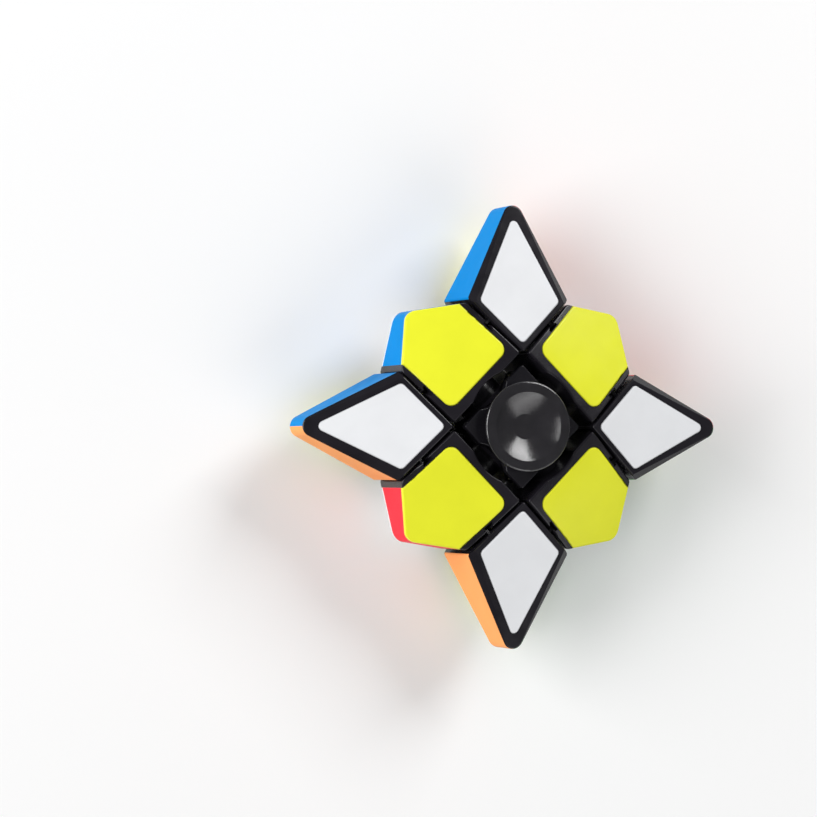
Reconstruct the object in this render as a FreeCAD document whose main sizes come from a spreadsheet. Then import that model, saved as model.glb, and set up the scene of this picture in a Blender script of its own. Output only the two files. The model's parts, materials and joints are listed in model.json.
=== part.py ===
import FreeCAD, Part
import Sketcher
import math
import os
from FreeCAD import Placement, Rotation, Vector

# A flat 1 x 3 x 3 turning puzzle shaped like an eight-pointed star, with a ball bearing
# and two finger caps in its middle, so that it also spins. Millimetres throughout.
#
# The puzzle's middle plane lies at half_thick above the table. The lower cap's rim stands
# on z = 0 and the spin axis is +Z. Four edge pieces lie on the +X, +Y, -X and -Y arms, and
# four kite-shaped corner pieces on the diagonals between them. Every sub-part is drawn
# about the puzzle's centre and for its first arm or diagonal. Its Placement lifts it by
# half_thick and turns it to its own place.

doc = FreeCAD.newDocument("SpinnerPuzzle")

# ---------------------------------------------------------------- driving dimensions
cell = 19.0            # pitch of the puzzle's cells
gap = 0.3              # from a cut plane to the face on each side of it
clear = 0.2            # round a tongue in its groove
cut = cell / 2         # distance of the cut planes from the centre
skin = 1.2             # thickness of the coloured side tiles
face_skin = 0.7        # thickness of the coloured face tiles
same = 1e-4            # two places this close are one and the same

SIZES = {
    "half_thick": 11.5,
    # finger caps
    "cap_rim": 8.4,
    "cap_land": 6.45,
    "cap_under": 8.9,
    "cap_low": 10.75,
    "cap_edge": 0.3,
    "dish_low": 9.75,
    "dish_flat": 2.4,
    "dish_curve": 14.0,
    "stem": 4.0,
    "stem_end": 0.05,
    "stud": 1.5,
    "stud_end": 6.5,
    # ball bearing, 1/4 x 1/2 x 3/16 inch
    "bore": 3.175,
    "race_in": 4.2,
    "race_out": 5.35,
    "bearing": 6.35,
    "bearing_half": 2.38,
    "ball": 0.794,
    "ball_pitch": 4.7625,
    "groove_in": 0.9,
    "groove_out": 0.82,
    "cage_in": 4.5,
    "cage_out": 5.05,
    "cage_half": 1.15,
    "cage_pocket": 0.9,
    "shield_in": 4.45,
    "shield_low": 1.85,
    "shield_high": 2.1,
    # core frame and its two plates
    "hub_half": 7.0,
    "hub_high": 3.4,
    "shoulder": 5.7,
    "boss": 2.9,
    "boss_end": 14.2,
    "post": 1.4,
    "post_at": 5.55,
    "pin": 0.8,
    "pin_low": 4.2,
    "plate_low": 6.9,
    "plate_high": 8.55,
    "plate_hole": 4.6,
    "plate_half": 8.2,
    "plate_round": 0.4,
    "plate_edge": 0.2,
    "notch": 5.92,
    "notch_half": 3.7,
    # screw, spring and washer of an edge piece
    "thread": 1.25,
    "thread_start": 8.6,
    "screw_head": 2.4,
    "screw_seat": 20.2,
    "screw_top": 22.0,
    "socket": 1.1,
    "socket_deep": 20.9,
    "washer_in": 1.4,
    "washer_out": 2.45,
    "washer_low": 16.05,
    "washer_high": 16.45,
    "coil": 2.0,
    "wire": 0.25,
    "coil_turns": 4.0,
    # edge piece
    "edge_in": cut + 0.8,
    "edge_half": cut - gap,
    "edge_side": 23.4,
    "edge_tip": 30.1,
    "edge_tip_round": 2.5,
    "edge_side_round": 1.0,
    "edge_in_round": 0.4,
    "block": 26.0,
    "crown": 110.0,
    "crown_x": -12.0,
    "crown_in": 9.6,
    "scallop": 10.5,
    "scallop_deep": 0.75,
    "foot": 7.0,
    "foot_in": 7.3,
    "foot_out": 8.0,
    "ankle": 4.6,
    "ankle_out": 12.0,
    "foot_bore": 2.98,
    "web_low": 14.5,
    "web_high": 16.0,
    "web_bore": 1.6,
    "chamber": 2.8,
    "tile_in": 12.2,
    "tile_half": 8.1,
    "tile_round": 2.0,
    "beyond": 40.0,
    "far": 120.0,
    # rail: the ring, about a turning axis, of a tongue and of the groove round it
    "rail": 19.4,
    "tongue_angle": 40.0,
    "neck_half": 0.3,
    "head_half": 0.7,
    "neck_end": 8.9,
    "head_start": 8.65,
    "tongue_end": 8.45,
    "tongue_root": cut + 1.5,
    # corner piece
    "kite_in": cut + gap,
    "kite_side": 24.0,
    "kite_tip": 31.2,
    "kite_in_round": 0.5,
    "kite_side_round": 0.5,
    "kite_tip_round": 2.0,
    "kite_high": 9.25,
    "kite_tip_high": 3.2,
    "band_high": 6.2,
    "band_wide": 1.35,
    "kite_tile_in": 10.8,
    "kite_tile_side": 22.3,
    "kite_tile_tip": 28.3,
    "kite_tile_round": 1.0,
    "kite_side_start": -0.1,
    "strip_reach": 8.0,
    "plane_far": 50.0,
    # rims of the pieces and of their face tiles, and the least area of a face that has one
    "rim_round": 0.35,
    "tile_edge": 0.4,
    "broad": 100.0,
}

# ---------------------------------------------------------------- worked-out dimensions
root2 = math.sqrt(2)


def between(start, end, x):
    """Height at x on the straight line through two (x, height) points."""
    return start[1] + (end[1] - start[1]) * (x - start[0]) / (end[0] - start[0])


# Centre of the crowned top's circle, and the circle under a tile.
SIZES["crown_z"] = SIZES["crown_in"] - math.sqrt(
    SIZES["crown"] ** 2 - (SIZES["edge_in"] - SIZES["crown_x"]) ** 2)
SIZES["under"] = SIZES["crown"] - face_skin
for name, radius in (("crown", SIZES["crown"]), ("under", SIZES["under"])):
    for where, x in (("near", 0.0), ("far", SIZES["beyond"])):
        reach = math.sqrt(radius ** 2 - (x - SIZES["crown_x"]) ** 2)
        SIZES[f"{name}_{where}"] = SIZES["crown_z"] + reach
SIZES["cap_high"] = SIZES["half_thick"] - SIZES["cap_edge"]
SIZES["cap_crest"] = SIZES["cap_rim"] - SIZES["cap_edge"]
SIZES["plate_thick"] = SIZES["plate_high"] - SIZES["plate_low"]
SIZES["pin_long"] = SIZES["plate_low"] - SIZES["pin_low"]

# The middle of the spring's wire keeps this far from the washer and from the screw's head.
wire_room = 1.5 * SIZES["wire"]
coil_start = SIZES["washer_high"] + wire_room
SIZES["coil_long"] = SIZES["screw_seat"] - wire_room - coil_start

# Centre of the hollow along an edge piece's inner side.
SIZES["scallop_x"] = SIZES["edge_in"] + SIZES["scallop_deep"] - SIZES["scallop"]

# The inner outline of an edge piece's V-shaped side tile, one skin in from its two slopes.
slope = Vector(SIZES["edge_tip"] - SIZES["edge_side"], -SIZES["edge_half"], 0).normalize()
SIZES["v_tip"] = SIZES["edge_tip"] + skin / slope.y
SIZES["v_side"] = SIZES["v_tip"] + SIZES["tile_half"] * slope.x / slope.y

# Tongue and groove profile: the groove is the tongue's outline moved out by the clearance.
SIZES["mouth_half"] = SIZES["neck_half"] + clear
SIZES["hollow_half"] = SIZES["head_half"] + clear
bevel = math.hypot(SIZES["neck_end"] - SIZES["head_start"], SIZES["head_half"] - SIZES["neck_half"])
rise = (SIZES["head_half"] - SIZES["neck_half"]) / bevel
run = (SIZES["neck_end"] - SIZES["head_start"]) / bevel
lip = clear * (1 - run) / rise
SIZES["mouth_end"] = SIZES["neck_end"] + lip
SIZES["hollow_start"] = SIZES["head_start"] + lip
SIZES["hollow_end"] = SIZES["tongue_end"] - clear
SIZES["groove_open"] = cut + gap
for name in ("neck", "head", "mouth", "hollow"):
    SIZES[name + "_in"] = SIZES["rail"] - SIZES[name + "_half"]
    SIZES[name + "_out"] = SIZES["rail"] + SIZES[name + "_half"]

# Heights of a kite's flat top along its diagonal, and of the band below its long outer sides.
diagonal_in = SIZES["kite_in"] * root2
diagonal_tip = SIZES["kite_tip"] * root2
diagonal_side = (SIZES["kite_in"] + SIZES["kite_side"]) / root2
top_line = ((diagonal_in, SIZES["kite_high"]), (diagonal_tip, SIZES["kite_tip_high"]))
band_line = ((diagonal_side, SIZES["band_high"]), top_line[1])
SIZES["top_near_high"] = between(*top_line, 0)
SIZES["top_far_high"] = between(*top_line, SIZES["plane_far"])
SIZES["under_near_high"] = SIZES["top_near_high"] - face_skin
SIZES["under_far_high"] = SIZES["top_far_high"] - face_skin
SIZES["band_near_high"] = between(*band_line, 0)
SIZES["band_far_high"] = between(*band_line, SIZES["plane_far"])

# The inner line of a corner piece's side tile, one skin in from the long outer side.
long_side = Vector(SIZES["kite_tip"] - SIZES["kite_side"], SIZES["kite_tip"] - SIZES["kite_in"], 0)
long_side = long_side.normalize()
outward = Vector(long_side.y, -long_side.x, 0)
start = Vector(SIZES["kite_side"], SIZES["kite_in"], 0) + long_side * SIZES["kite_side_start"]
strip = start - outward * skin
SIZES["strip_x"] = strip.x
SIZES["strip_y"] = strip.y
SIZES["strip_tip"] = SIZES["kite_tip"] - skin / (outward.x + outward.y)
SIZES["strip_out_x"] = strip.x + outward.x * SIZES["strip_reach"]
SIZES["strip_out_y"] = strip.y + outward.y * SIZES["strip_reach"]
SIZES["strip_out_tip"] = SIZES["strip_tip"] + SIZES["strip_reach"]

sheet = doc.addObject("Spreadsheet::Sheet", "Sizes")
for row, (name, size) in enumerate(SIZES.items(), start=1):
    sheet.set(f"A{row}", name)
    sheet.set(f"B{row}", repr(float(size)))
    sheet.setAlias(f"B{row}", name)
doc.recompute()


# ---------------------------------------------------------------- small helpers
def value(name):
    """Number held by a size name; a leading minus sign negates it and 0 is nought."""
    if name == "0":
        return 0.0
    return -SIZES[name[1:]] if name.startswith("-") else SIZES[name]


def cell_of(name):
    """Expression that reads a size name from the sheet."""
    return "-Sizes." + name[1:] if name.startswith("-") else "Sizes." + name


def negated(name):
    return name[1:] if name.startswith("-") else "-" + name


def quarter_turn(corner, quarters):
    """A size-name pair turned by whole quarter turns about the centre."""
    x, y = corner
    for _ in range(quarters):
        x, y = negated(y), x
    return x, y


def new_body(name):
    return doc.addObject("PartDesign::Body", name)


def new_sketch(body, role, turn=0):
    """Sketch on one of the body's own origin planes, turned about Z by an angle."""
    sketch = body.newObject("Sketcher::SketchObject", body.Name + "_sketch")
    plane = next(item for item in body.Origin.OriginFeatures if item.Role == role)
    sketch.AttachmentSupport = (plane, [""])
    sketch.MapMode = "FlatFace"
    if turn:
        sketch.AttachmentOffset = Placement(Vector(), Rotation(Vector(0, 1, 0), turn))
    return sketch


def hold(sketch, curve, point, x, y):
    """Fix a point of a curve at named sizes from the sketch's origin."""
    for kind, axis, name in (("DistanceX", -2, x), ("DistanceY", -1, y)):
        if name == "0":
            sketch.addConstraint(Sketcher.Constraint("PointOnObject", curve, point, axis))
        else:
            index = sketch.addConstraint(Sketcher.Constraint(kind, -1, 1, curve, point, value(name)))
            sketch.setExpression(f"Constraints[{index}]", cell_of(name))


def arc_between(begin, end, radius):
    """Arc of a signed radius: above nought its centre is on the left, so it runs anticlockwise."""
    half = (end - begin) * 0.5
    side = Vector(-half.y, half.x, 0).normalize()
    reach = math.sqrt(radius ** 2 - half.Length ** 2)
    centre = begin + half + side * math.copysign(reach, radius)
    middle = centre - side * radius
    return Part.Arc(begin, middle, end)


def outline(sketch, *corners):
    """Closed outline through corners given as pairs of size names.

    A third name makes the side that follows that corner an arc of that radius.
    """
    first = sketch.GeometryCount
    count = len(corners)
    points = [Vector(value(corner[0]), value(corner[1]), 0) for corner in corners]
    ends = []
    for index, corner in enumerate(corners):
        begin, end = points[index], points[(index + 1) % count]
        if len(corner) == 2:
            sketch.addGeometry(Part.LineSegment(begin, end))
            ends.append((1, 2))
        else:
            curve = sketch.addGeometry(arc_between(begin, end, value(corner[2])))
            starts_here = sketch.getPoint(curve, 1).distanceToPoint(begin) < same
            ends.append((1, 2) if starts_here else (2, 1))
    for index in range(count):
        following = (index + 1) % count
        sketch.addConstraint(Sketcher.Constraint(
            "Coincident", first + index, ends[index][1], first + following, ends[following][0]))
    for index, corner in enumerate(corners):
        hold(sketch, first + index, ends[index][0], corner[0], corner[1])
        if len(corner) == 3:
            size = corner[2].lstrip("-")
            radius = sketch.addConstraint(Sketcher.Constraint("Radius", first + index, value(size)))
            sketch.setExpression(f"Constraints[{radius}]", cell_of(size))


def circle(sketch, x, y, radius):
    curve = sketch.addGeometry(Part.Circle(Vector(value(x), value(y), 0), Vector(0, 0, 1), value(radius)))
    if x == y == "0":
        sketch.addConstraint(Sketcher.Constraint("Coincident", curve, 3, -1, 1))
    else:
        hold(sketch, curve, 3, x, y)
    index = sketch.addConstraint(Sketcher.Constraint("Radius", curve, value(radius)))
    sketch.setExpression(f"Constraints[{index}]", cell_of(radius))


def pad(body, sketch, length, symmetric=True, reverse=False):
    feature = body.newObject("PartDesign::Pad", body.Name + "_pad")
    feature.Profile = sketch
    feature.setExpression("Length", cell_of(length))
    feature.SideType = "Symmetric" if symmetric else "One side"
    feature.Reversed = reverse
    return feature


def pocket(body, sketch, length="far", symmetric=True, reverse=False):
    feature = body.newObject("PartDesign::Pocket", body.Name + "_pocket")
    feature.Profile = sketch
    feature.setExpression("Length", cell_of(length))
    feature.SideType = "Symmetric" if symmetric else "One side"
    feature.Reversed = reverse
    return feature


def turned(body, sketch, axis="H_Axis", cutting=False):
    """Full revolution of a sketch about one of its own axes, added or cut away."""
    kind = "Groove" if cutting else "Revolution"
    feature = body.newObject("PartDesign::" + kind, body.Name + "_turned")
    feature.Profile = sketch
    feature.ReferenceAxis = (sketch, [axis])
    feature.Angle = 360
    return feature


def lathe(name, axis, *corners):
    """Body turned from one closed profile in the XZ plane."""
    body = new_body(name)
    sketch = new_sketch(body, "XZ_Plane")
    outline(sketch, *corners)
    turned(body, sketch, axis)
    return body


def edges_where(shape, test):
    return [f"Edge{index}" for index, edge in enumerate(shape.Edges, start=1) if test(edge)]


def upright_at(*places):
    """Test for the vertical edges that stand at the given (x, y) places."""
    def test(edge):
        ends = [vertex.Point for vertex in edge.Vertexes]
        if len(ends) < 2 or abs(ends[0].x - ends[1].x) + abs(ends[0].y - ends[1].y) > same:
            return False
        return any(math.hypot(ends[0].x - x, ends[0].y - y) < same for x, y in places)
    return test


def fillet(body, radius, test):
    """Round the edges of the body so far that pass a test."""
    doc.recompute()
    edges = edges_where(body.Tip.Shape, test)
    base = body.Tip
    feature = body.newObject("PartDesign::Fillet", body.Name + "_fillet")
    feature.Base = (base, edges)
    feature.setExpression("Radius", cell_of(radius))
    return feature


def rounded(name, base, radius, count):
    """Round the rims of a shape's broad faces: its outermost one, or that one and its mirror."""
    doc.recompute()
    shape = base.Shape
    broad = [face for face in shape.Faces if face.Area > SIZES["broad"]]
    outermost = sorted(broad, key=lambda face: abs(face.CenterOfMass.z))[-count:]
    rims = [rim for face in outermost for rim in face.Edges]
    result = doc.addObject("Part::Fillet", name)
    result.Base = base
    result.Edges = [(index, SIZES[radius], SIZES[radius])
                    for index, edge in enumerate(shape.Edges, start=1)
                    if any(edge.isSame(rim) for rim in rims)]
    return result


def boolean(kind, name, *shapes):
    """Part boolean or compound: Cut and Common take two shapes, the others any number."""
    result = doc.addObject("Part::" + kind, name)
    if kind in ("Cut", "Common"):
        result.Base, result.Tool = shapes
    elif kind == "Compound":
        result.Links = list(shapes)
    else:
        result.Shapes = list(shapes)
    return result


parts = []


def finish(sub_part, label, turn=0.0, flip=False):
    """Give a sub-part its name and place, and list it for writing."""
    sub_part.Label = label
    over = Rotation(Vector(1, 0, 0), 180) if flip else Rotation()
    sub_part.Placement = Placement(Vector(), Rotation(Vector(0, 0, 1), turn) * over)
    sub_part.setExpression("Placement.Base.z", "Sizes.half_thick")
    parts.append(sub_part)


def group(label, pieces):
    """One sub-part that holds several separate solids of one kind."""
    finish(boolean("Compound", label, *pieces), label)


def drawn(name, role, *corners, length="block", symmetric=True):
    """Body padded from one outline."""
    body = new_body(name)
    sketch = new_sketch(body, role)
    outline(sketch, *corners)
    pad(body, sketch, length, symmetric)
    return body


# ---------------------------------------------------------------- finger caps and axle
def finger_cap(label, flip):
    """Mushroom cap: a dished disc on a stem that steps down into the bearing's bore."""
    cap = lathe(label, "V_Axis",
                ("stud", "stem_end"), ("bore", "stem_end"), ("bore", "bearing_half"),
                ("stem", "bearing_half"), ("stem", "cap_under"), ("cap_rim", "cap_low"),
                ("cap_rim", "cap_high", "cap_edge"), ("cap_crest", "half_thick"),
                ("cap_land", "half_thick", "-dish_curve"), ("dish_flat", "dish_low"),
                ("0", "dish_low"), ("0", "stud_end"), ("stud", "stud_end"))
    finish(cap, label, flip=flip)


finger_cap("finger_cap_top", flip=False)
finger_cap("finger_cap_bottom", flip=True)

axle = lathe("axle", "V_Axis", ("0", "-stud_end"), ("stud", "-stud_end"), ("stud", "stud_end"),
             ("0", "stud_end"))
finish(axle, "axle_stud")


# ---------------------------------------------------------------- ball bearing
def race(label, inner, outer, groove):
    """Bearing ring with the balls' groove turned into it."""
    ring = lathe(label, "V_Axis", (inner, "-bearing_half"), (outer, "-bearing_half"),
                 (outer, "bearing_half"), (inner, "bearing_half"))
    sketch = new_sketch(ring, "XZ_Plane")
    circle(sketch, "ball_pitch", "0", groove)
    turned(ring, sketch, "V_Axis", cutting=True)
    finish(ring, label)


race("bearing_inner_race", "bore", "race_in", "groove_in")
race("bearing_outer_race", "race_out", "bearing", "groove_out")

ball_count = 10


def on_pitch_circle(kind, name, radius):
    """Primitives of one radius round the bearing's pitch circle, each facing outwards."""
    pieces = []
    for index in range(ball_count):
        piece = doc.addObject("Part::" + kind, f"{name}_{index}")
        piece.setExpression("Radius", cell_of(radius))
        angle = 360 * index / ball_count
        outwards = Rotation(Vector(0, 0, 1), angle)
        piece.Placement.Rotation = outwards
        if kind == "Cylinder":
            piece.Placement.Rotation = outwards * Rotation(Vector(0, 1, 0), 90)
            piece.setExpression("Height", "Sizes.bearing")
        else:
            piece.setExpression("Placement.Base.x", f"Sizes.ball_pitch * cos({angle})")
            piece.setExpression("Placement.Base.y", f"Sizes.ball_pitch * sin({angle})")
        pieces.append(piece)
    return pieces


group("bearing_balls", on_pitch_circle("Sphere", "ball", "ball"))

cage_ring = lathe("cage_ring", "V_Axis", ("cage_in", "-cage_half"), ("cage_out", "-cage_half"),
                  ("cage_out", "cage_half"), ("cage_in", "cage_half"))
cage_pockets = boolean("MultiFuse", "cage_pockets",
                       *on_pitch_circle("Cylinder", "cage_pocket", "cage_pocket"))
finish(boolean("Cut", "bearing_cage_cut", cage_ring, cage_pockets), "bearing_cage")

shields = []
for name, low, high in (("shield_upper", "shield_low", "shield_high"),
                        ("shield_lower", "-shield_high", "-shield_low")):
    shields.append(lathe(name, "V_Axis", ("shield_in", low), ("race_out", low),
                         ("race_out", high), ("shield_in", high)))
group("bearing_shields", shields)


# ---------------------------------------------------------------- core
def quadrants(x, y):
    """The four places of a size-name pair, mirrored in both axes."""
    return [(x, y), ("-" + x, y), ("-" + x, "-" + y), (x, "-" + y)]


def rod(name, radius, reach, x="0", y="0", along=Vector(0, 0, 1)):
    """Cylinder that runs the same distance both ways from the middle plane or axis."""
    cylinder = doc.addObject("Part::Cylinder", name)
    cylinder.setExpression("Radius", cell_of(radius))
    cylinder.setExpression("Height", "2 * " + cell_of(reach))
    cylinder.Placement.Rotation = Rotation(Vector(0, 0, 1), along)
    for axis, start in zip("xyz", along):
        at = {"x": x, "y": y, "z": "0"}[axis]
        if start:
            cylinder.setExpression("Placement.Base." + axis, "-" + cell_of(reach))
        elif at != "0":
            cylinder.setExpression("Placement.Base." + axis, cell_of(at))
    return cylinder


def core_frame():
    """Square hub with the bearing's pocket, an arm for each edge piece and four posts."""
    hub = doc.addObject("Part::Box", "hub")
    for size, half in (("Length", "hub_half"), ("Width", "hub_half"), ("Height", "hub_high")):
        hub.setExpression(size, "2 * " + cell_of(half))
    for axis, half in (("x", "hub_half"), ("y", "hub_half"), ("z", "hub_high")):
        hub.setExpression("Placement.Base." + axis, "-" + cell_of(half))
    arms = [rod("arms_x", "boss", "boss_end", along=Vector(1, 0, 0)),
            rod("arms_y", "boss", "boss_end", along=Vector(0, 1, 0))]
    screw_holes = [rod("screw_holes_x", "thread", "boss_end", along=Vector(1, 0, 0)),
                   rod("screw_holes_y", "thread", "boss_end", along=Vector(0, 1, 0))]
    posts = []
    pin_holes = []
    for index, (x, y) in enumerate(quadrants("post_at", "post_at")):
        posts.append(rod(f"post_{index}", "post", "plate_low", x, y))
        pin_holes.append(rod(f"pin_hole_{index}", "pin", "plate_low", x, y))
    pocket_shape = lathe("bearing_pocket", "V_Axis", ("0", "-plate_low"), ("shoulder", "-plate_low"),
                         ("shoulder", "-bearing_half"), ("bearing", "-bearing_half"),
                         ("bearing", "plate_low"), ("0", "plate_low"))
    solid = boolean("MultiFuse", "core_solid", hub, *arms, *posts)
    hollows = boolean("MultiFuse", "core_hollows", pocket_shape, *screw_holes, *pin_holes)
    finish(boolean("Cut", "core_frame", solid, hollows), "core_frame")


def core_plate(label, flip):
    """Square cover plate, notched over each foot disc, with a pin under each corner."""
    def outer_rim(edge):
        middle = edge.CenterOfMass
        return abs(middle.z - SIZES["plate_high"]) < same and math.hypot(middle.x, middle.y) > same

    body = new_body(label)
    sketch = new_sketch(body, "XY_Plane")
    sketch.setExpression("AttachmentOffset.Base.z", "Sizes.plate_low")
    corners = []
    for quarter in range(4):
        corners.append(quarter_turn(("plate_half", "notch_half"), quarter))
        corners.append(quarter_turn(("plate_half", "plate_half"), quarter))
        corners.append((*quarter_turn(("notch_half", "plate_half"), quarter), "-notch"))
    outline(sketch, *corners)
    circle(sketch, "0", "0", "plate_hole")
    pad(body, sketch, "plate_thick", symmetric=False)
    pins = new_sketch(body, "XY_Plane")
    pins.setExpression("AttachmentOffset.Base.z", "Sizes.pin_low")
    for x, y in quadrants("post_at", "post_at"):
        circle(pins, x, y, "pin")
    pad(body, pins, "pin_long", symmetric=False)
    half = SIZES["plate_half"]
    fillet(body, "plate_round", upright_at((half, half), (-half, half), (-half, -half), (half, -half)))
    fillet(body, "plate_edge", outer_rim)
    finish(body, label, flip=flip)


core_frame()
core_plate("core_plate_top", flip=False)
core_plate("core_plate_bottom", flip=True)


# ---------------------------------------------------------------- edge piece fastenings
def around(make, label):
    """Group of one piece for each of the four arms."""
    pieces = []
    for quarter in range(4):
        piece = make(f"{label}_{quarter}")
        quarter_turned = Placement(Vector(), Rotation(Vector(0, 0, 1), 90 * quarter))
        piece.Placement = quarter_turned * piece.Placement
        pieces.append(piece)
    group(label, pieces)


def edge_screw(name):
    return lathe(name, "H_Axis",
                 ("thread_start", "0"), ("socket_deep", "0"), ("socket_deep", "socket"),
                 ("screw_top", "socket"), ("screw_top", "screw_head"), ("screw_seat", "screw_head"),
                 ("screw_seat", "thread"), ("thread_start", "thread"))


def edge_washer(name):
    return lathe(name, "H_Axis",
                 ("washer_low", "washer_in"), ("washer_high", "washer_in"),
                 ("washer_high", "washer_out"), ("washer_low", "washer_out"))


def edge_spring(name):
    """Round wire along a helix about X, between the washer and the screw's head."""
    body = new_body(name)
    sketch = new_sketch(body, "YZ_Plane")
    circle(sketch, "coil", "0", "wire")
    coils = body.newObject("PartDesign::AdditiveHelix", name + "_coils")
    coils.Profile = sketch
    coils.ReferenceAxis = (sketch, ["V_Axis"])
    coils.Mode = "height-turns-angle"
    coils.setExpression("Height", "Sizes.coil_long")
    coils.setExpression("Turns", "Sizes.coil_turns")
    body.Placement = Placement(Vector(coil_start, 0, 0), Rotation(Vector(0, 1, 0), 90))
    return body


around(edge_screw, "edge_screws")
around(edge_washer, "edge_washers")
around(edge_spring, "edge_springs")


# ---------------------------------------------------------------- edge pieces
def cut_above(body, line, radius):
    """Trim a body above an arc that runs outwards from Z, and below its mirror image."""
    for side in ("", "-"):
        sketch = new_sketch(body, "XZ_Plane")
        outline(sketch, ("0", side + line + "_near", negated(side + radius)),
                ("beyond", side + line + "_far"), ("beyond", side + "block"), ("0", side + "block"))
        pocket(body, sketch)


def edge_blank(name):
    """Outer shape of an edge piece: a crowned pentagon with its point outwards."""
    body = drawn(name, "XY_Plane",
                 ("edge_in", "-edge_half"), ("edge_side", "-edge_half"), ("edge_tip", "0"),
                 ("edge_side", "edge_half"), ("edge_in", "edge_half"))
    half = SIZES["edge_half"]
    fillet(body, "edge_tip_round", upright_at((SIZES["edge_tip"], 0)))
    fillet(body, "edge_side_round", upright_at((SIZES["edge_side"], half), (SIZES["edge_side"], -half)))
    fillet(body, "edge_in_round", upright_at((SIZES["edge_in"], half), (SIZES["edge_in"], -half)))
    cut_above(body, "crown", "crown")
    hollow = new_sketch(body, "XY_Plane")
    circle(hollow, "scallop_x", "0", "scallop")
    pocket(body, hollow)
    return body


def face_tile_region(name):
    """Space that an edge piece's upper coloured tile takes out of its outer shape."""
    body = drawn(name, "XY_Plane",
                 ("tile_in", "-tile_half"), ("beyond", "-tile_half"),
                 ("beyond", "tile_half"), ("tile_in", "tile_half"),
                 symmetric=False)
    half = SIZES["tile_half"]
    fillet(body, "tile_round", upright_at((SIZES["tile_in"], half), (SIZES["tile_in"], -half)))
    sketch = new_sketch(body, "XZ_Plane")
    outline(sketch, ("0", "under_near", "-under"), ("beyond", "under_far"), ("beyond", "0"), ("0", "0"))
    pocket(body, sketch)
    return body


def side_tile_region(name):
    """Space of the V-shaped tile that wraps an edge piece's point, between the face tiles."""
    body = drawn(name, "XY_Plane",
                 ("v_side", "tile_half"), ("v_tip", "0"), ("v_side", "-tile_half"),
                 ("beyond", "-tile_half"), ("beyond", "tile_half"))
    cut_above(body, "under", "under")
    return body


def rail_groove(name, side):
    """Full ring about Y that a corner piece's tongue runs in, on one side of an edge piece."""
    body = new_body(name)
    sketch = new_sketch(body, "XY_Plane")
    profile = [("mouth_in", "groove_open"), ("mouth_in", "mouth_end"), ("hollow_in", "hollow_start"),
               ("hollow_in", "hollow_end"), ("hollow_out", "hollow_end"),
               ("hollow_out", "hollow_start"), ("mouth_out", "mouth_end"), ("mouth_out", "groove_open")]
    outline(sketch, *[(radius, side + place) for radius, place in profile])
    turned(body, sketch, "V_Axis")
    return body


def screw_way(name):
    """Stepped bore along X: the core's arm, the web under the spring, then the screw's chamber."""
    return lathe(name, "H_Axis",
                 ("0", "0"), ("beyond", "0"), ("beyond", "chamber"), ("web_high", "chamber"),
                 ("web_high", "web_bore"), ("web_low", "web_bore"), ("web_low", "foot_bore"),
                 ("0", "foot_bore"))


def face_tiles(label, blank, spaces, turn):
    """The two coloured tiles of a piece, each with a rounded rim."""
    for name, space in zip(("face_tile_top", "face_tile_bottom"), spaces):
        sharp = boolean("Common", f"{label}_{name}_sharp", blank, space)
        finish(rounded(f"{label}_{name}", sharp, "tile_edge", 1), f"{label}_{name}", turn)


def edge_piece(label, turn):
    """Black body with its foot disc on an ankle, two face tiles and the side tile."""
    blank = edge_blank(label + "_blank")
    foot = lathe(label + "_foot", "H_Axis", ("foot_in", "web_bore"), ("ankle_out", "web_bore"),
                 ("ankle_out", "ankle"), ("foot_out", "ankle"), ("foot_out", "foot"),
                 ("foot_in", "foot"))
    upper = face_tile_region(label + "_upper_space")
    lower = face_tile_region(label + "_lower_space")
    lower.Placement.Rotation = Rotation(Vector(1, 0, 0), 180)
    side = side_tile_region(label + "_side_space")
    spaces = boolean("MultiFuse", label + "_spaces", upper, lower, side,
                     rail_groove(label + "_groove_a", ""), rail_groove(label + "_groove_b", "-"),
                     screw_way(label + "_screw_way"))
    solid = boolean("MultiFuse", label + "_solid", rounded(label + "_rims", blank, "rim_round", 2), foot)
    finish(boolean("Cut", label + "_cut", solid, spaces), label + "_body", turn)
    face_tiles(label, blank, (upper, lower), turn)
    finish(boolean("Common", label + "_side_tile", blank, side), label + "_side_tile", turn)


arms = {"edge_ne": 0, "edge_nw": 90, "edge_sw": 180, "edge_se": 270}
for label, turn in arms.items():
    edge_piece(label, turn)


# ---------------------------------------------------------------- corner pieces
def on_diagonal(body, *corners):
    """Pocket outlined on the upright plane through the kite's long diagonal."""
    sketch = new_sketch(body, "XZ_Plane", turn=45)
    outline(sketch, *corners)
    pocket(body, sketch)


def band_cutter(name, side, above):
    """Block whose face is the sloping band above, or below, one long outer side of the kite."""
    def place(x, y, z):
        return Vector(x, y, z * above) if side > 0 else Vector(y, x, z * above)
    out = outward if side > 0 else Vector(outward.y, outward.x, 0)
    corner = place(SIZES["kite_side"], SIZES["kite_in"], SIZES["band_high"])
    tip = place(SIZES["kite_tip"], SIZES["kite_tip"], SIZES["kite_tip_high"])
    inner = corner - out * SIZES["band_wide"]
    inner.z = above * between(*top_line, (inner.x + inner.y) / root2)
    along = (tip - corner).normalize()
    normal = along.cross(inner - corner).normalize()
    if normal.dot(out) < 0:
        normal = -normal
    block = doc.addObject("Part::Box", name)
    block.setExpression("Length", "Sizes.plane_far")
    block.setExpression("Width", "Sizes.plane_far")
    block.setExpression("Height", "Sizes.kite_high")
    across = normal.cross(along)
    middle = SIZES["plane_far"] / 2
    block.Placement = Placement(corner - along * middle - across * middle,
                                Rotation(along, across, normal, "ZXY"))
    return block


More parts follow.
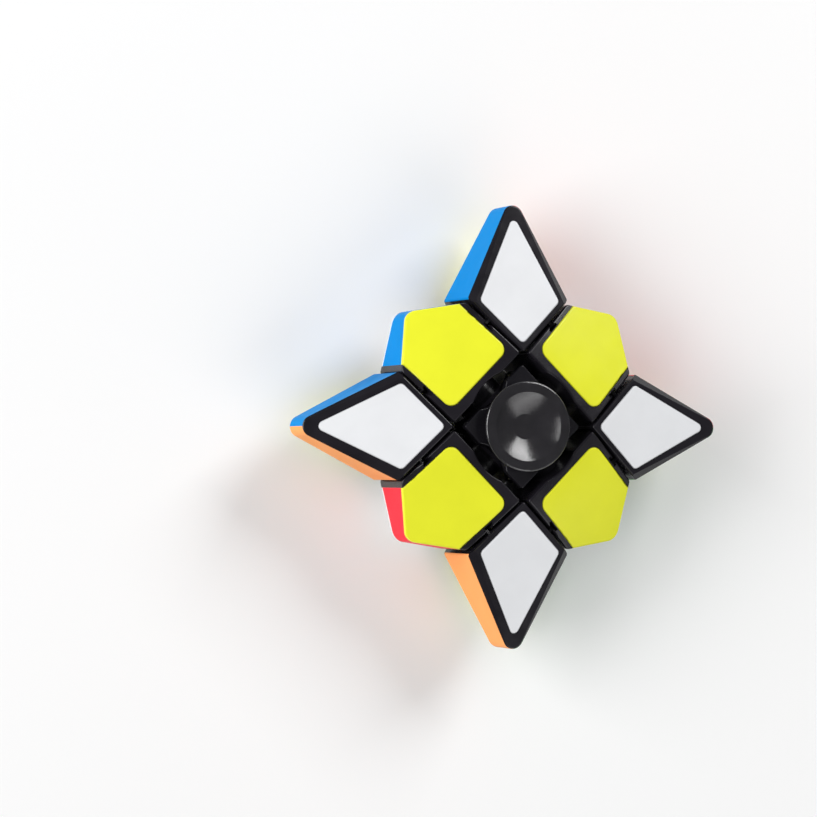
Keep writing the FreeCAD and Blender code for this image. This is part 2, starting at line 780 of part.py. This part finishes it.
def corner_blanks(name):
    """Outer shape of a corner piece, a kite with flat tops that fall towards its point.

    The first is sharp, for the tiles, and the second has rounded rims, for the body.
    """
    low, high, tip = "kite_in", "kite_side", "kite_tip"
    body = drawn(name, "XY_Plane", (low, low), (high, low), (tip, tip), (low, high))
    fillet(body, "kite_tip_round", upright_at((SIZES[tip], SIZES[tip])))
    fillet(body, "kite_side_round", upright_at((SIZES[high], SIZES[low]), (SIZES[low], SIZES[high])))
    fillet(body, "kite_in_round", upright_at((SIZES[low], SIZES[low])))
    for side in ("", "-"):
        on_diagonal(body, ("0", side + "top_near_high"), ("plane_far", side + "top_far_high"),
                    ("plane_far", side + "block"), ("0", side + "block"))
    cutters = [band_cutter(f"{name}_band_{side}_{above}", side, above)
               for side in (1, -1) for above in (1, -1)]
    bands = boolean("MultiFuse", name + "_bands", *cutters)
    soft = rounded(name + "_rims", body, "rim_round", 2)
    return boolean("Cut", name + "_sharp", body, bands), boolean("Cut", name + "_soft", soft, bands)


def kite_tile_region(name):
    """Space that a corner piece's upper coloured tile takes out of its outer shape."""
    low, high, tip = "kite_tile_in", "kite_tile_side", "kite_tile_tip"
    body = drawn(name, "XY_Plane", (low, low), (high, low), (tip, tip), (low, high), symmetric=False)
    places = ((low, low), (high, low), (tip, tip), (low, high))
    fillet(body, "kite_tile_round", upright_at(*[(SIZES[x], SIZES[y]) for x, y in places]))
    on_diagonal(body, ("0", "under_near_high"), ("plane_far", "under_far_high"), ("plane_far", "0"),
                ("0", "0"))
    return body


def kite_side_region(name, swap):
    """Space of the tile on one long outer side, up to the point where two of them meet."""
    corners = [("strip_x", "strip_y"), ("strip_tip", "strip_tip"), ("strip_out_tip", "strip_out_tip"),
               ("strip_out_x", "strip_out_y")]
    if swap:
        corners = [(y, x) for x, y in corners]
    body = drawn(name, "XY_Plane", *corners)
    for side in ("", "-"):
        on_diagonal(body, ("0", side + "band_near_high"), ("plane_far", side + "band_far_high"),
                    ("plane_far", side + "block"), ("0", side + "block"))
    return body


def tongue(name, swap):
    """Hooked ring sector about X, or with swap about Y, that runs in an edge piece's groove."""
    body = new_body(name)
    sketch = new_sketch(body, "XY_Plane")
    profile = [("tongue_root", "neck_in"), ("neck_end", "neck_in"), ("head_start", "head_in"),
               ("tongue_end", "head_in"), ("tongue_end", "head_out"), ("head_start", "head_out"),
               ("neck_end", "neck_out"), ("tongue_root", "neck_out")]
    if swap:
        profile = [(y, x) for x, y in profile]
    outline(sketch, *profile)
    sector = turned(body, sketch, "V_Axis" if swap else "H_Axis")
    sector.setExpression("Angle", "Sizes.tongue_angle")
    sector.Midplane = True
    return body


def corner_piece(label, turn):
    """Black body with two hooked tongues, two face tiles and two side tiles."""
    blank, soft_blank = corner_blanks(label + "_blank")
    upper = kite_tile_region(label + "_upper_space")
    lower = kite_tile_region(label + "_lower_space")
    lower.Placement.Rotation = Rotation(Vector(1, 1, 0), 180)
    side_a = kite_side_region(label + "_side_a_space", swap=False)
    side_b = kite_side_region(label + "_side_b_space", swap=True)
    spaces = boolean("MultiFuse", label + "_spaces", upper, lower, side_a, side_b)
    solid = boolean("MultiFuse", label + "_solid", soft_blank, tongue(label + "_tongue_a", False),
                    tongue(label + "_tongue_b", True))
    finish(boolean("Cut", label + "_cut", solid, spaces), label + "_body", turn)
    face_tiles(label, blank, (upper, lower), turn)
    for name, space in (("side_tile_a", side_a), ("side_tile_b", side_b)):
        finish(boolean("Common", f"{label}_{name}", blank, space), f"{label}_{name}", turn)


diagonals = {"corner_n": 0, "corner_w": 90, "corner_s": 180, "corner_e": 270}
for label, turn in diagonals.items():
    corner_piece(label, turn)


# ---------------------------------------------------------------- check and write
doc.recompute()
failed = [item.Name for item in doc.Objects if "Invalid" in item.State or "Error" in item.State]
if failed:
    raise RuntimeError("not computed: " + ", ".join(failed))
os.makedirs("parts", exist_ok=True)
for sub_part in parts:
    shape = sub_part.Shape
    if shape.isNull() or not shape.isValid() or not shape.Solids:
        raise RuntimeError("bad shape: " + sub_part.Label)
for sub_part in parts:
    sub_part.Shape.exportStep(f"parts/{sub_part.Label}.step")
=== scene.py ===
import json
import math

import bmesh
import bpy
from mathutils import Matrix, Vector

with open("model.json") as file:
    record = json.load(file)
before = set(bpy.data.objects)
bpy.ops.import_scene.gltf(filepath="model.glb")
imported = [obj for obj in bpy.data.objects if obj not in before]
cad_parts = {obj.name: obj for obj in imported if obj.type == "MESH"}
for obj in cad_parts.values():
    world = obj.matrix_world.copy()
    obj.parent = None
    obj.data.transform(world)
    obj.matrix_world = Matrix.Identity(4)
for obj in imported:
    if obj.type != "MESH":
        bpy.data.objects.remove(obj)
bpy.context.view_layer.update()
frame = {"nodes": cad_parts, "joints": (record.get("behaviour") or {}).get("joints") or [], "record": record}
nodes = frame["nodes"]
slot_of = {part["node"]: part["material_slot"] for part in frame["record"]["subparts"]}

MM = 0.001
spin_height = frame["joints"][0]["pos_m"][2]
centre = Vector((0, 0, spin_height))
north = Vector((1, 1, 0)).normalized()
east = Vector((1, -1, 0)).normalized()
up = Vector((0, 0, 1))


# ---------------------------------------------------------------- camera
SWING = math.radians(20.4)  # off the spin axis, towards the west point
DROP = math.radians(1.0)  # off the spin axis, towards the south point
AIM = centre + east * -19.5 * MM + north * 3.4 * MM
CAMERA_DISTANCE = 622.3 * MM
LENS = 146.9  # focal length in mm, Blender's unit for it
SENSOR_WIDTH = 36  # mm
CLIP_END = 10


def make_camera():
    """Long lens over the star, swung towards its west point, with the north point up."""
    towards = up * math.cos(SWING) - east * math.sin(SWING)
    towards = (towards - north * math.sin(DROP)).normalized()
    data = bpy.data.cameras.new("camera")
    data.lens = LENS
    data.sensor_width = SENSOR_WIDTH
    data.clip_end = CLIP_END
    camera = bpy.data.objects.new("camera", data)
    bpy.context.scene.collection.objects.link(camera)
    right = north.cross(towards).normalized()
    turn = Matrix((right, towards.cross(right), towards)).transposed()
    camera.matrix_world = Matrix.Translation(AIM + towards * CAMERA_DISTANCE) @ turn.to_4x4()
    bpy.context.scene.camera = camera


make_camera()


# ---------------------------------------------------------------- material nodes
RAMP_START, RAMP_END = 0.35, 0.65  # noise values that get a ramp's two colours
NOISE_LOW, NOISE_HIGH = 0.3, 0.7  # noise values that get the two ends of a range
WAVE_PERIOD = math.pi / 10  # metres between the rings of Blender's wave texture at scale 1


def new_material(name):
    """New material, its node tree and its shader."""
    material = bpy.data.materials.new(name)
    material.use_nodes = True
    shader = material.node_tree.nodes["Principled BSDF"]
    return material, material.node_tree, shader


def add(tree, kind, **values):
    """Node of a kind, with inputs and settings given by name."""
    node = tree.nodes.new("ShaderNode" + kind)
    for name, value in values.items():
        label = name.replace("_", " ").title()
        if label in node.inputs:
            node.inputs[label].default_value = value
        else:
            setattr(node, name, value)
    return node


def noise(tree, scale, detail=2.0, roughness=0.5):
    """Noise over the piece's own place in space. Scale is in cells per metre."""
    where = add(tree, "TexCoord")
    texture = add(tree, "TexNoise", scale=scale, detail=detail, roughness=roughness)
    tree.links.new(where.outputs["Object"], texture.inputs["Vector"])
    return texture.outputs["Fac"]


def ramp(tree, factor, low, high):
    """Colour that runs from low to high with the factor."""
    node = add(tree, "ValToRGB")
    first, last = node.color_ramp.elements
    first.position, first.color = RAMP_START, low
    last.position, last.color = RAMP_END, high
    tree.links.new(factor, node.inputs["Fac"])
    return node.outputs["Color"]


def spread(tree, factor, low, high):
    """Number that runs from low to high with the factor."""
    node = add(tree, "MapRange", from_min=NOISE_LOW, from_max=NOISE_HIGH, to_min=low, to_max=high)
    tree.links.new(factor, node.inputs["Value"])
    return node.outputs["Result"]


def bump(tree, shader, height, strength, distance):
    """Surface texture from a height. The distance, in metres, is the full depth."""
    node = add(tree, "Bump", strength=strength, distance=distance)
    tree.links.new(height, node.inputs["Height"])
    tree.links.new(node.outputs["Normal"], shader.inputs["Normal"])


# ---------------------------------------------------------------- materials
def moulded(name, dark, light, rough, grain, shine):
    """Moulded plastic: faint flow marks in colour, uneven gloss and a fine skin texture."""
    material, tree, shader = new_material(name)
    flow = noise(tree, scale=140.0, detail=3.0)
    gloss = noise(tree, scale=420.0, detail=4.0)
    skin = noise(tree, scale=3200.0, detail=3.0, roughness=0.6)
    tree.links.new(ramp(tree, flow, dark, light), shader.inputs["Base Color"])
    tree.links.new(spread(tree, gloss, *rough), shader.inputs["Roughness"])
    bump(tree, shader, skin, strength=grain, distance=0.02 * MM)
    shader.inputs["Specular IOR Level"].default_value = shine
    shader.inputs["IOR"].default_value = 1.5
    return material


def turned(name, dark, light, rough, ring_pitch, ring_depth, shine):
    """Black plastic turned on a lathe: fine rings about the spin axis, finer flow marks."""
    material, tree, shader = new_material(name)
    flow = noise(tree, scale=260.0, detail=3.0)
    gloss = noise(tree, scale=700.0, detail=4.0)
    tree.links.new(ramp(tree, flow, dark, light), shader.inputs["Base Color"])
    tree.links.new(spread(tree, gloss, *rough), shader.inputs["Roughness"])
    where = add(tree, "TexCoord")
    rings = add(tree, "TexWave", wave_type="RINGS", rings_direction="Z", distortion=0.4,
                scale=WAVE_PERIOD / ring_pitch)
    tree.links.new(where.outputs["Object"], rings.inputs["Vector"])
    bump(tree, shader, rings.outputs["Fac"], strength=1.0, distance=ring_depth)
    shader.inputs["Specular IOR Level"].default_value = shine
    return material


def tile_plastic(name, colour, rough, shine):
    """Coloured tile: slightly deeper and lighter patches, orange peel in the gloss."""
    deeper, paler = 0.975, 1.012
    deep = (*[part * deeper for part in colour], 1)
    pale = (*[min(1.0, part * paler) for part in colour], 1)
    return moulded(name, deep, pale, rough, grain=0.10, shine=shine)


def steel(name):
    """Bright steel: slightly uneven tone and gloss, and a very fine grain."""
    material, tree, shader = new_material(name)
    shader.inputs["Metallic"].default_value = 1.0
    tone = ramp(tree, noise(tree, scale=900.0, detail=4.0),
                low=(0.50, 0.50, 0.51, 1), high=(0.62, 0.62, 0.63, 1))
    gloss = spread(tree, noise(tree, scale=600.0), low=0.14, high=0.26)
    tree.links.new(tone, shader.inputs["Base Color"])
    tree.links.new(gloss, shader.inputs["Roughness"])
    bump(tree, shader, noise(tree, scale=5000.0), strength=0.08, distance=0.01 * MM)
    return material


# The shines were chosen to match the photograph's colours under these lights.
FACE_FINISH = {"rough": (0.16, 0.24), "shine": 0.22}
SIDE_FINISH = {"rough": (0.34, 0.42), "shine": 0.015}
MATERIALS = {
    "body_black": moulded("body_black", dark=(0.0095, 0.0085, 0.0115, 1),
                          light=(0.0145, 0.013, 0.017, 1), rough=(0.18, 0.26),
                          grain=0.20, shine=0.36),
    "cap_black": turned("cap_black", dark=(0.011, 0.0105, 0.0125, 1),
                        light=(0.016, 0.015, 0.018, 1), rough=(0.16, 0.22),
                        ring_pitch=0.16 * MM, ring_depth=0.008 * MM, shine=1.0),
    "core_black": moulded("core_black", dark=(0.009, 0.0085, 0.011, 1),
                          light=(0.014, 0.013, 0.016, 1), rough=(0.14, 0.22),
                          grain=0.12, shine=0.4),
    "white_tile": tile_plastic("white_tile", (0.79, 0.80, 0.82), **FACE_FINISH),
    "yellow_tile": tile_plastic("yellow_tile", (0.80, 0.82, 0.032), **FACE_FINISH),
    "blue_tile": tile_plastic("blue_tile", (0.0, 0.24, 0.64), **SIDE_FINISH),
    "orange_tile": tile_plastic("orange_tile", (1.0, 0.40, 0.13), **SIDE_FINISH),
    "red_tile": tile_plastic("red_tile", (0.98, 0.042, 0.064), **SIDE_FINISH),
    "green_tile": tile_plastic("green_tile", (0.0, 0.30, 0.04), **SIDE_FINISH),
    "steel": steel("steel"),
    "cage_brass": steel("cage_brass"),
}

for name, node in nodes.items():
    node.data.materials.clear()
    node.data.materials.append(MATERIALS[slot_of[name]])


# ---------------------------------------------------------------- floor, lights and world
FLOOR_HALF = 1.5  # half of the floor's side
FLOOR_CELLS = 8
LIGHT_DISTANCE = 1.0


def make_floor():
    """Pale flat floor that the star lies on."""
    mesh = bpy.data.meshes.new("floor")
    grid = bmesh.new()
    bmesh.ops.create_grid(grid, x_segments=FLOOR_CELLS, y_segments=FLOOR_CELLS, size=FLOOR_HALF)
    grid.to_mesh(mesh)
    grid.free()
    floor = bpy.data.objects.new("floor", mesh)
    bpy.context.scene.collection.objects.link(floor)
    material, tree, shader = new_material("floor")
    tone = ramp(tree, noise(tree, scale=3.0), low=(0.92, 0.92, 0.92, 1), high=(0.95, 0.95, 0.95, 1))
    tree.links.new(tone, shader.inputs["Base Color"])
    shader.inputs["Roughness"].default_value = 0.6
    mesh.materials.append(material)


def softbox(name, direction, size, radiance):
    """Rectangular studio light that faces the star from a direction in east, north and up."""
    data = bpy.data.lights.new(name, "AREA")
    data.shape = "RECTANGLE"
    data.size, data.size_y = size
    data.energy = radiance * math.pi * size[0] * size[1]
    light = bpy.data.objects.new(name, data)
    way = (east * direction[0] + north * direction[1] + up * direction[2]).normalized()
    light.location = centre + way * LIGHT_DISTANCE
    light.rotation_euler = way.to_track_quat("Z", "Y").to_euler()
    bpy.context.scene.collection.objects.link(light)


def make_world(strength):
    """Even white light from all round."""
    world = bpy.data.worlds.new("studio")
    world.use_nodes = True
    background = world.node_tree.nodes["Background"]
    background.inputs["Color"].default_value = (1, 1, 1, 1)
    background.inputs["Strength"].default_value = strength
    bpy.context.scene.world = world


make_floor()
make_world(strength=0.12)
softbox("key_north_east", direction=(0.55, 0.64, 0.53), size=(0.55, 0.42), radiance=9.5)
softbox("side_west", direction=(-0.88, 0.1, 0.44), size=(0.9, 0.5), radiance=7.3)
softbox("bank_south", direction=(0.38, -0.72, 0.58), size=(1.1, 0.5), radiance=2.0)
bpy.context.scene.view_settings.view_transform = "Standard"
